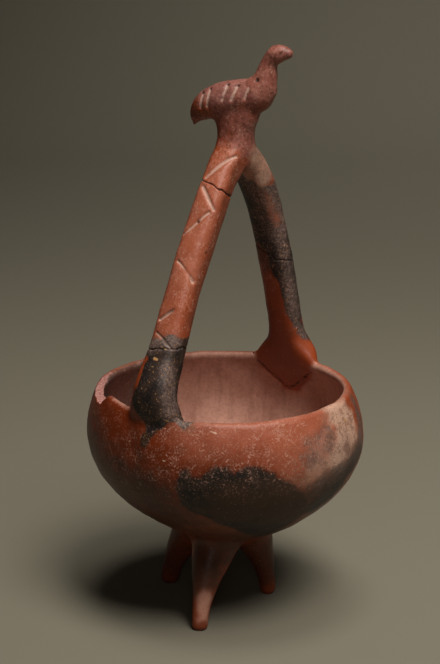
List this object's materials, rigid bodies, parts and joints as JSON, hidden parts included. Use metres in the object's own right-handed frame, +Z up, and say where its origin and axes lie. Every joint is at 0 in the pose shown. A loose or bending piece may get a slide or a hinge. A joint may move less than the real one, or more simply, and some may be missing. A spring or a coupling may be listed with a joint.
{
  "type": "tripod bowl",
  "caption": "Round-bottomed hand-built clay bowl on tapering feet, with a tall basket handle that joins in a short stem under a long-necked bird.",
  "frame": {"origin": "on the floor, under the middle of the bowl's widest ring", "axes": "+Z up; the handle spans X, its leg with the incised zigzag on -X; the bird looks towards -Y"},
  "size_m": [0.17, 0.17, 0.35],
  "materials": {
    "burnished_red_clay": "burnished red slip with black fire clouds, worn and scratched"
  },
  "bodies": {
    "root": {"tripod_bowl": "burnished_red_clay"}
  },
  "joints": []
}
